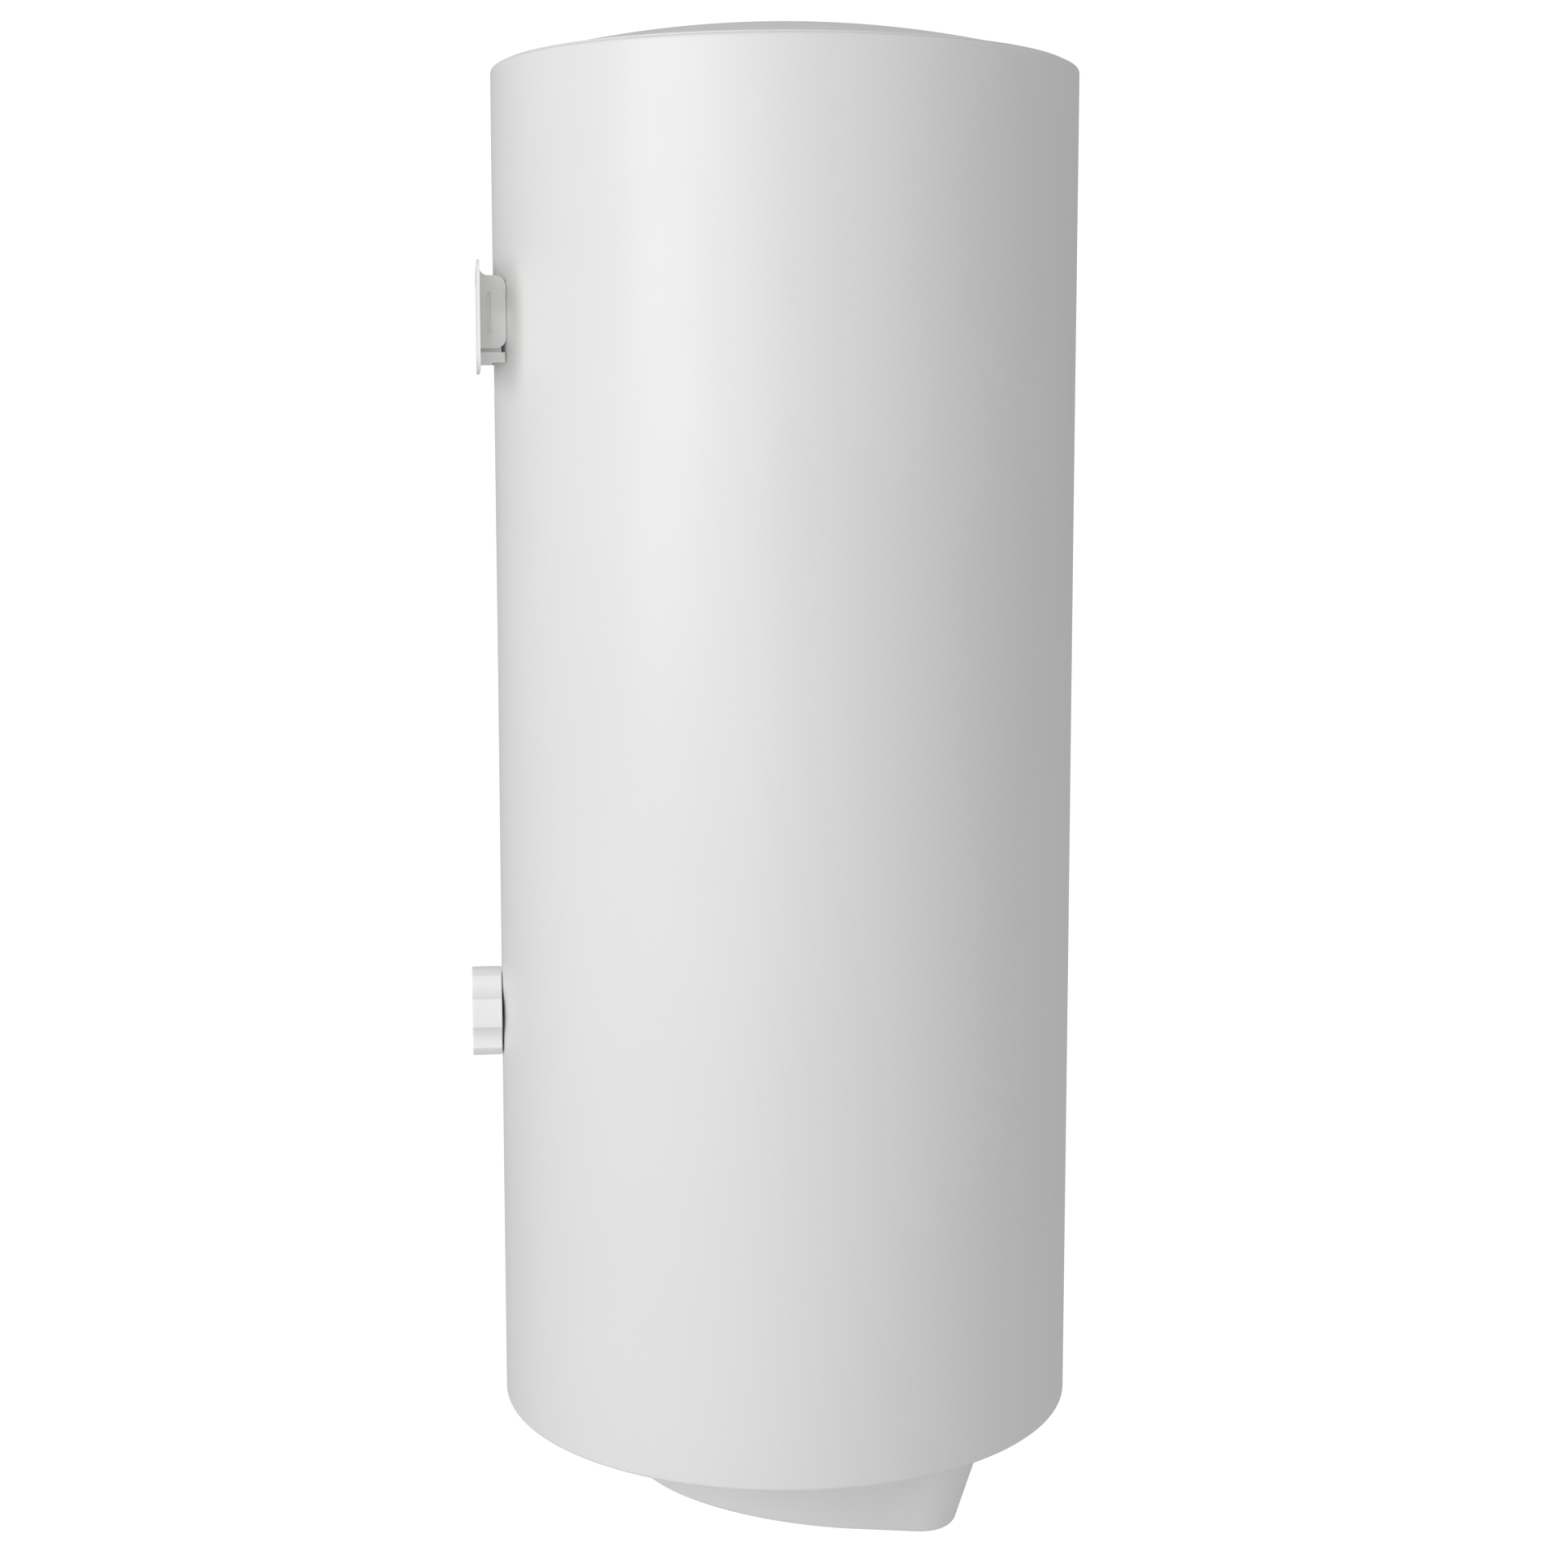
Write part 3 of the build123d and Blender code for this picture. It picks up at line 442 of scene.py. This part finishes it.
def bare_metal(name, colour, dull, roughness=0.34, lines=400.0, depth=0.000012, bright=None):
    """Worked metal whose corners are rubbed bright."""
    material, tree, shader = blank(name)
    metal = use(
        tree,
        worked_metal,
        Colour=colour,
        Dull_Colour=dull,
        Line_Scale=lines,
        Line_Height=depth,
        Roughness=roughness,
    )
    edge = use(
        tree,
        edge_highlight_and_wear,
        Colour=metal.outputs["Colour"],
        Bare_Colour=bright or tuple(min(1.0, part * 1.2) for part in colour[:3]) + (1,),
        Amount=0.8,
    )
    dress(tree, shader, metal, edge.outputs["Colour"])
    shader.inputs["Metallic"].default_value = 1.0
    return material


def blown_foam(name, colour):
    """Rigid polyurethane foam: closed cells, bigger voids painted darker as shade in their hollows,
    and a darker, uneven skin.
    """
    material, tree, shader = blank(name)
    where = tree.nodes.new("ShaderNodeTexCoord").outputs["Object"]
    cell = put(tree, "ShaderNodeTexVoronoi", Scale=900.0)
    void = put(tree, "ShaderNodeTexVoronoi", Scale=120.0)
    join(tree, where, cell.inputs["Vector"])
    join(tree, where, void.inputs["Vector"])
    open_cell = stretch(tree, cell.outputs["Distance"], 0.0, 0.5, 0.0, 1.0)
    open_void = stretch(tree, void.outputs["Distance"], 0.05, 0.2, 0.0, 1.0)
    skin = stretch(tree, cloud(tree, where, 12, 5.0, 0.6), 0.3, 0.7, 0.0, 0.6)
    darker = tuple(part * 0.72 for part in colour[:3]) + (1,)
    toned = blend_colour(tree, skin, colour, darker)
    # The voids' hollows are painted dark: painted shade.
    void_shade_colour = blend_colour(tree, open_void, darker, toned)
    join(tree, void_shade_colour, shader.inputs["Base Color"])
    large = raise_surface(tree, open_void, 0.0008)
    join(tree, raise_surface(tree, open_cell, 0.0002, large), shader.inputs["Normal"])
    shader.inputs["Roughness"].default_value = 0.9
    return material


def glazed(name, colour):
    """Fired ceramic with a thin glaze and small iron specks."""
    material, tree, shader = blank(name)
    where = tree.nodes.new("ShaderNodeTexCoord").outputs["Object"]
    speck = put(tree, "ShaderNodeTexVoronoi", Scale=900.0)
    join(tree, where, speck.inputs["Vector"])
    dot = stretch(tree, speck.outputs["Distance"], 0.04, 0.1, 0.0, 1.0)
    tone = stretch(tree, cloud(tree, where, 160, 3.0), 0.3, 0.7, 0.0, 0.35)
    fired = blend_colour(tree, tone, colour, (0.76, 0.7, 0.6, 1))
    join(tree, blend_colour(tree, dot, (0.3, 0.2, 0.14, 1), fired), shader.inputs["Base Color"])
    join(
        tree,
        raise_surface(tree, cloud(tree, where, 500, 2.0), 0.00003),
        shader.inputs["Normal"],
    )
    join(
        tree,
        stretch(tree, cloud(tree, where, 200, 2.0), 0.3, 0.7, 0.12, 0.3),
        shader.inputs["Roughness"],
    )
    return material


def earth_sheath(name, green, yellow):
    """Wire insulation in green with a yellow stripe that lies along the wire."""
    material, tree, shader = blank(name)
    body = use(tree, moulded_grain, Colour=green, Grain_Height=0.00001, Roughness=0.42)
    facing = tree.nodes.new("ShaderNodeSeparateXYZ")
    shape = tree.nodes.new("ShaderNodeNewGeometry")
    join(tree, shape.outputs["Normal"], facing.inputs["Vector"])
    across = calculate(tree, "ABSOLUTE", facing.outputs["X"], 0.0)
    stripe = stretch(tree, across, 0.66, 0.72, 0.0, 1.0)
    join(
        tree,
        blend_colour(tree, stripe, body.outputs["Colour"], yellow),
        shader.inputs["Base Color"],
    )
    join(tree, body.outputs["Roughness"], shader.inputs["Roughness"])
    join(tree, body.outputs["Normal"], shader.inputs["Normal"])
    return material


def tinted_clear(name, colour, roughness):
    """Clear tinted plastic or glass, faintly scratched."""
    material, tree, shader = blank(name)
    where = tree.nodes.new("ShaderNodeTexCoord").outputs["Object"]
    deeper = tuple(part * 0.8 for part in colour[:3]) + (1,)
    tone = stretch(tree, cloud(tree, where, 180, 2.0), 0.3, 0.7, 0.0, 1.0)
    join(tree, blend_colour(tree, tone, colour, deeper), shader.inputs["Base Color"])
    join(
        tree,
        stretch(tree, cloud(tree, where, 700, 3.0), 0.3, 0.7, roughness, roughness + 0.12),
        shader.inputs["Roughness"],
    )
    join(
        tree,
        raise_surface(tree, cloud(tree, where, 900, 2.0), 0.00001),
        shader.inputs["Normal"],
    )
    shader.inputs["Transmission Weight"].default_value = 0.7
    shader.inputs["IOR"].default_value = 1.49
    return material


finishes = {
    "jacket_paint": painted_sheet(
        "stoved_white_jacket", (0.82, 0.82, 0.815, 1), 0.4, 0.000008, 0.0002, 0.05
    ),
    "bracket_paint": painted_sheet(
        "powder_white_bracket", (0.92, 0.92, 0.915, 1), 0.42, 0.00002, 0.00005, 0.08
    ),
    "cover_plastic": moulded("grained_white_cover", (0.85, 0.85, 0.845, 1), 0.46, 0.00001, 0.04),
    "knob_plastic": moulded("glossier_white_knob", (0.91, 0.91, 0.905, 1), 0.36, 0.000006, 0.04),
    "foam": blown_foam("straw_foam", (0.86, 0.76, 0.48, 1)),
    "tank_steel": bare_metal(
        "dark_tank_steel", (0.3, 0.31, 0.33, 1), (0.16, 0.16, 0.17, 1), 0.5, 300.0, 0.00003
    ),
    "zinc_steel": bare_metal("zinc_plate", (0.72, 0.72, 0.7, 1), (0.5, 0.5, 0.48, 1), 0.32),
    "element_sheath": bare_metal(
        "drawn_nickel_sheath", (0.6, 0.58, 0.54, 1), (0.36, 0.33, 0.3, 1), 0.38, 700.0
    ),
    "copper": bare_metal("drawn_copper", (0.85, 0.47, 0.3, 1), (0.42, 0.2, 0.12, 1), 0.32, 700.0),
    "brass": bare_metal("turned_brass", (0.83, 0.62, 0.28, 1), (0.5, 0.36, 0.16, 1), 0.28, 900.0),
    "magnesium": bare_metal(
        "cast_magnesium", (0.6, 0.61, 0.62, 1), (0.4, 0.4, 0.41, 1), 0.6, 200.0, 0.00006
    ),
    "gasket_rubber": moulded("black_rubber", (0.035, 0.035, 0.036, 1), 0.7, 0.00004),
    "porcelain": glazed("ivory_porcelain", (0.86, 0.83, 0.76, 1)),
    "grey_plastic": moulded("dark_grey_bakelite", (0.12, 0.125, 0.13, 1), 0.4, 0.000015),
    "block_plastic": moulded("ivory_nylon", (0.8, 0.79, 0.74, 1), 0.42, 0.000008, 0.1),
    "dial_plastic": moulded("red_dial", (0.58, 0.045, 0.035, 1), 0.35, 0.000006),
    "button_plastic": moulded("yellow_button", (0.82, 0.66, 0.05, 1), 0.35, 0.000006),
    "blue_plastic": moulded("blue_ring", (0.03, 0.13, 0.5, 1), 0.38, 0.000008),
    "red_plastic": moulded("red_ring", (0.55, 0.035, 0.03, 1), 0.38, 0.000008),
    "gland_plastic": moulded("light_grey_nylon", (0.66, 0.66, 0.65, 1), 0.42, 0.00001, 0.05),
    "brown_wire": moulded("brown_sheath", (0.14, 0.055, 0.025, 1), 0.4, 0.000006),
    "blue_wire": moulded("blue_sheath", (0.03, 0.12, 0.45, 1), 0.4, 0.000006),
    "earth_wire": earth_sheath("earth_sheath", (0.06, 0.3, 0.05, 1), (0.85, 0.72, 0.04, 1)),
    "lamp_glass": tinted_clear("neon_glass", (0.95, 0.5, 0.2, 1), 0.06),
    "lens": tinted_clear("amber_lens", (0.9, 0.3, 0.08, 1), 0.2),
}

for part in frame["record"]["subparts"]:
    piece = frame["nodes"][part["node"]]
    for holder in piece.material_slots:
        holder.material = finishes[part["material_slot"]]

# ---------------------------------------------------------------- fine sheet work


def place_piece(name, form, slot, body, *stood_for):
    """Turns a bmesh into a shown piece with a finish, on a body, standing for CAD nodes."""
    mesh = bpy.data.meshes.new(name)
    form.to_mesh(mesh)
    form.free()
    mesh.materials.append(finishes[slot])
    mesh.shade_smooth()
    piece = bpy.data.objects.new(name, mesh)
    bpy.context.scene.collection.objects.link(piece)
    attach(piece, body)
    if stood_for:
        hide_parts(*stood_for)
    return piece


def arc(centre_r, centre_z, radius, start, end, steps):
    """Points (radius, height) along an arc, angles in degrees from the outward direction."""
    turns = [math.radians(start + (end - start) * step / steps) for step in range(steps + 1)]
    return [(centre_r + radius * math.cos(t), centre_z + radius * math.sin(t)) for t in turns]


def turn_outline(outline, steps, ripple=None):
    """A closed outline of (radius, height) points turned about the tank's axis."""
    form = bmesh.new()
    rings = []
    for step in range(steps):
        angle = 2 * math.pi * step / steps
        ring = []
        for radius, height in outline:
            out = radius + (ripple(angle, height) if ripple else 0.0)
            across, along = out * math.cos(angle), out * math.sin(angle)
            place = (tank_axis.x + across, tank_axis.y + along, height)
            ring.append(form.verts.new(place))
        rings.append(ring)
    count = len(outline)
    for step in range(steps):
        here, there = rings[step], rings[(step + 1) % steps]
        for spot in range(count):
            after = (spot + 1) % count
            form.faces.new((here[spot], there[spot], there[after], here[after]))
    bmesh.ops.remove_doubles(form, verts=form.verts, dist=0.000005)
    bmesh.ops.recalc_face_normals(form, faces=form.faces)
    return form


def jacket_path(inset, rows):
    """The jacket's section from the lower lip to the upper lip, moved in by an inset."""
    low, high = jacket_low.z + inset, jacket_high.z - inset
    roll = rim_roll - inset
    wall = jacket_radius - inset
    points = [(bottom_lip_radius, low), (bottom_lip_radius + 0.006, low)]
    points += arc(jacket_radius - rim_roll, jacket_low.z + rim_roll, roll, -90, 0, 8)
    bottom, top = jacket_low.z + rim_roll, jacket_high.z - rim_roll
    points += [(wall, bottom + (top - bottom) * row / rows) for row in range(1, rows)]
    points += arc(jacket_radius - rim_roll, top, roll, 0, 90, 8)
    points += [(top_lip_radius + 0.004, high), (top_lip_radius, high)]
    return points


def sheet_ripple(angle, height):
    """The slight waviness of rolled sheet, which dies out at the stiff rims."""
    share = (height - jacket_low.z) / (jacket_high.z - jacket_low.z)
    fade = max(0.0, math.sin(math.pi * min(1.0, max(0.0, share)))) ** 0.5
    wave = 0.00016 * math.sin(4 * angle + 5 * height + 0.6)
    wave += 0.0001 * math.sin(9 * angle - 7 * height + 2.1)
    return fade * wave


def drill(form, places, radius):
    """Cuts round holes along Y through a form at places (x, z), on the wall side only."""
    solid = bpy.data.meshes.new("drilled")
    form.to_mesh(solid)
    form.free()
    work = bpy.data.objects.new("drilled", solid)
    bpy.context.scene.collection.objects.link(work)
    bits = bmesh.new()
    turn = Matrix.Rotation(math.pi / 2, 4, "X")
    for x, z in places:
        wall_side = tank_axis.y + jacket_radius - drill_depth
        place = Matrix.Translation((x, wall_side, z))
        bmesh.ops.create_cone(
            bits,
            cap_ends=True,
            segments=40,
            radius1=radius,
            radius2=radius,
            depth=drill_length,
            matrix=place @ turn,
        )
    cutter = bpy.data.objects.new("bits", bpy.data.meshes.new("bits"))
    bits.to_mesh(cutter.data)
    bits.free()
    bpy.context.scene.collection.objects.link(cutter)
    cut = work.modifiers.new("holes", "BOOLEAN")
    cut.object = cutter
    cut.operation = "DIFFERENCE"
    cut.solver = "EXACT"
    seen = bpy.context.evaluated_depsgraph_get()
    result = bmesh.new()
    result.from_mesh(bpy.data.meshes.new_from_object(work.evaluated_get(seen)))
    bpy.data.objects.remove(work)
    bpy.data.objects.remove(cutter)
    return result


bolt_low, bolt_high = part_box("bracket_bolts")
bolt_x = bolt_high.x - bolt_head_reach
bolt_z = (bolt_low.z + bolt_head_radius, bolt_high.z - bolt_head_radius)
stud_low, stud_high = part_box("spacer_stud")
stud_z = (stud_low.z + stud_high.z) / 2

outside = jacket_path(0, 30)
inside = jacket_path(sheet, 30)
jacket_form = turn_outline(outside + inside[::-1], 360, sheet_ripple)
hole_places = [(x, z) for x in (-bolt_x, bolt_x) for z in bolt_z]
jacket_form = drill(jacket_form, hole_places + [(0.0, stud_z)], hole_radius)
jacket_skin = place_piece("jacket_skin", jacket_form, "jacket_paint", "heater", "outer_jacket")


def lid_path():
    """The lid's section: a shallow dome with a hemmed edge that stands on the jacket's lip."""
    base, rise = (lid_high.x - lid_low.x) / 2, lid_high.z - lid_low.z
    radius = (base**2 + rise**2) / (2 * rise)
    centre = lid_high.z - radius
    steps = 40
    edge = math.asin(base / radius)
    outer = []
    inner = []
    for step in range(steps + 1):
        turn = edge * (1 - step / steps)
        outer.append((radius * math.sin(turn), centre + radius * math.cos(turn)))
        under = radius - sheet
        inner.append((under * math.sin(turn), centre + under * math.cos(turn)))
    hem = arc(outer[0][0] - hem_radius, outer[0][1] + hem_radius, hem_radius, -180, 60, 10)
    return hem + outer[1:] + inner[:0:-1]


lid_skin = place_piece(
    "lid_skin", turn_outline(lid_path(), 360), "jacket_paint", "heater", "top_cover"
)


def lock_seam():
    """The jacket's folded upright seam, a flat strip with soft edges on the wall side."""
    form = bmesh.new()
    seat = math.asin(0.098 / jacket_radius)
    half, proud = 0.0045, 0.0009
    section = [
        (-half - 0.0012, -0.0001),
        (-half, proud * 0.6),
        (-half + 0.0008, proud),
        (half - 0.0008, proud),
        (half, proud * 0.6),
        (half + 0.0012, -0.0001),
    ]
    low, high = jacket_low.z + 0.007, jacket_high.z - 0.007
    rows = 60
    strips = []
    for row in range(rows + 1):
        height = low + (high - low) * row / rows
        flat = min(1.0, row / 1.5, (rows - row) / 1.5)
        strip = []
        for along, out in section:
            angle = math.pi / 2 - seat - along / jacket_radius
            wave = sheet_ripple(angle, height)
            reach = jacket_radius + wave + (out * flat if out > 0 else out)
            place = (
                tank_axis.x + reach * math.cos(angle),
                tank_axis.y + reach * math.sin(angle),
                height,
            )
            strip.append(form.verts.new(place))
        strips.append(strip)
    for below, above in zip(strips, strips[1:]):
        for spot in range(len(section) - 1):
            form.faces.new((below[spot], below[spot + 1], above[spot + 1], above[spot]))
    bmesh.ops.recalc_face_normals(form, faces=form.faces)
    return form


jacket_seam = place_piece("jacket_seam", lock_seam(), "jacket_paint", "heater")


def break_edges(node, width, angle=38):
    """Small rounded corners on a CAD piece, after its split vertices are joined."""
    piece = frame["nodes"][node]
    weld = piece.modifiers.new("joined", "WELD")
    weld.merge_threshold = 0.00001
    bevel = piece.modifiers.new("broken_edges", "BEVEL")
    bevel.width = width
    bevel.segments = 2
    bevel.limit_method = "ANGLE"
    bevel.angle_limit = math.radians(angle)
    bevel.use_clamp_overlap = False
    bevel.harden_normals = True


sharp_fasteners = ("flange_nuts", "anode_nut", "earth_nut", "bracket_bolts", "spacer_stud")
sharp_blocks = ("flange_plate", "thermostat_body", "terminal_block", "gland_locknut")
for node in sharp_fasteners + sharp_blocks:
    break_edges(node, edge_break)

# ---------------------------------------------------------------- floor, light


def floor_finish():
    """Pale matt floor with the faintest mottling, seen as the white of the studio."""
    material, tree, shader = blank("studio_floor")
    where = tree.nodes.new("ShaderNodeTexCoord").outputs["Object"]
    tone = stretch(tree, cloud(tree, where, 1.7, 4.0), 0.3, 0.7, 0.0, 1.0)
    pale = blend_colour(tree, tone, (0.84, 0.84, 0.84, 1), (0.88, 0.88, 0.88, 1))
    join(tree, pale, shader.inputs["Base Color"])
    shader.inputs["Roughness"].default_value = 0.8
    white = put(tree, "ShaderNodeEmission", Color=(1, 1, 1, 1), Strength=studio_white)
    seen = tree.nodes.new("ShaderNodeLightPath")
    both = tree.nodes.new("ShaderNodeMixShader")
    join(tree, seen.outputs["Is Camera Ray"], both.inputs[0])
    join(tree, shader.outputs[0], both.inputs[1])
    join(tree, white.outputs[0], both.inputs[2])
    join(tree, both.outputs[0], tree.nodes["Material Output"].inputs["Surface"])
    return material


def lay_floor():
    """A wide floor below the heater."""
    form = bmesh.new()
    bmesh.ops.create_grid(form, x_segments=8, y_segments=8, size=14)
    mesh = bpy.data.meshes.new("floor")
    form.to_mesh(mesh)
    form.free()
    mesh.materials.append(floor_finish())
    floor = bpy.data.objects.new("floor", mesh)
    floor.location = (0, tank_axis.y, heater_low.z - floor_drop)
    bpy.context.scene.collection.objects.link(floor)


def hang_light(name, bearing, rise, distance, width, height, power):
    """A soft box aimed at the middle of the heater; bearing in degrees from the camera's side."""
    middle = Vector((tank_axis.x, tank_axis.y, (heater_low.z + heater_high.z) / 2))
    toward_eye = Vector((-heading.x, -heading.y, 0))
    out = Matrix.Rotation(math.radians(-bearing), 3, "Z") @ toward_eye
    glow = bpy.data.lights.new(name, "AREA")
    glow.shape = "RECTANGLE"
    glow.size = width
    glow.size_y = height
    glow.energy = power
    lamp = bpy.data.objects.new(name, glow)
    lamp.location = middle + out * distance + Vector((0, 0, rise))
    lamp.rotation_euler = (middle - lamp.location).to_track_quat("-Z", "Y").to_euler()
    bpy.context.scene.collection.objects.link(lamp)


def surround():
    """White studio to the eye; it lights the heater more from above and from the room's side."""
    world = bpy.data.worlds.new("studio")
    bpy.context.scene.world = world
    world.use_nodes = True
    tree = world.node_tree
    room = tree.nodes["Background"]
    room.inputs["Color"].default_value = (1, 1, 1, 1)
    where = tree.nodes.new("ShaderNodeTexCoord")
    facing = tree.nodes.new("ShaderNodeSeparateXYZ")
    join(tree, where.outputs["Generated"], facing.inputs["Vector"])
    above = stretch(tree, facing.outputs["Z"], -0.2, 1.0, 0.38, 0.66)
    roomward = stretch(tree, facing.outputs["Y"], -1.0, 1.0, 1.0, 0.72)
    given = calculate(tree, "MULTIPLY", above, roomward)
    seen = tree.nodes.new("ShaderNodeLightPath")
    strength = tree.nodes.new("ShaderNodeMix")
    join(tree, seen.outputs["Is Camera Ray"], strength.inputs[0])
    join(tree, given, strength.inputs[2])
    strength.inputs[3].default_value = studio_white
    join(tree, strength.outputs[0], room.inputs["Strength"])


lay_floor()
surround()
hang_light("key_softbox", 42, rise=0.9, distance=2.6, width=1.5, height=2.2, power=30)
hang_light("front_softbox", 14, rise=0.5, distance=2.9, width=0.9, height=2.0, power=9)
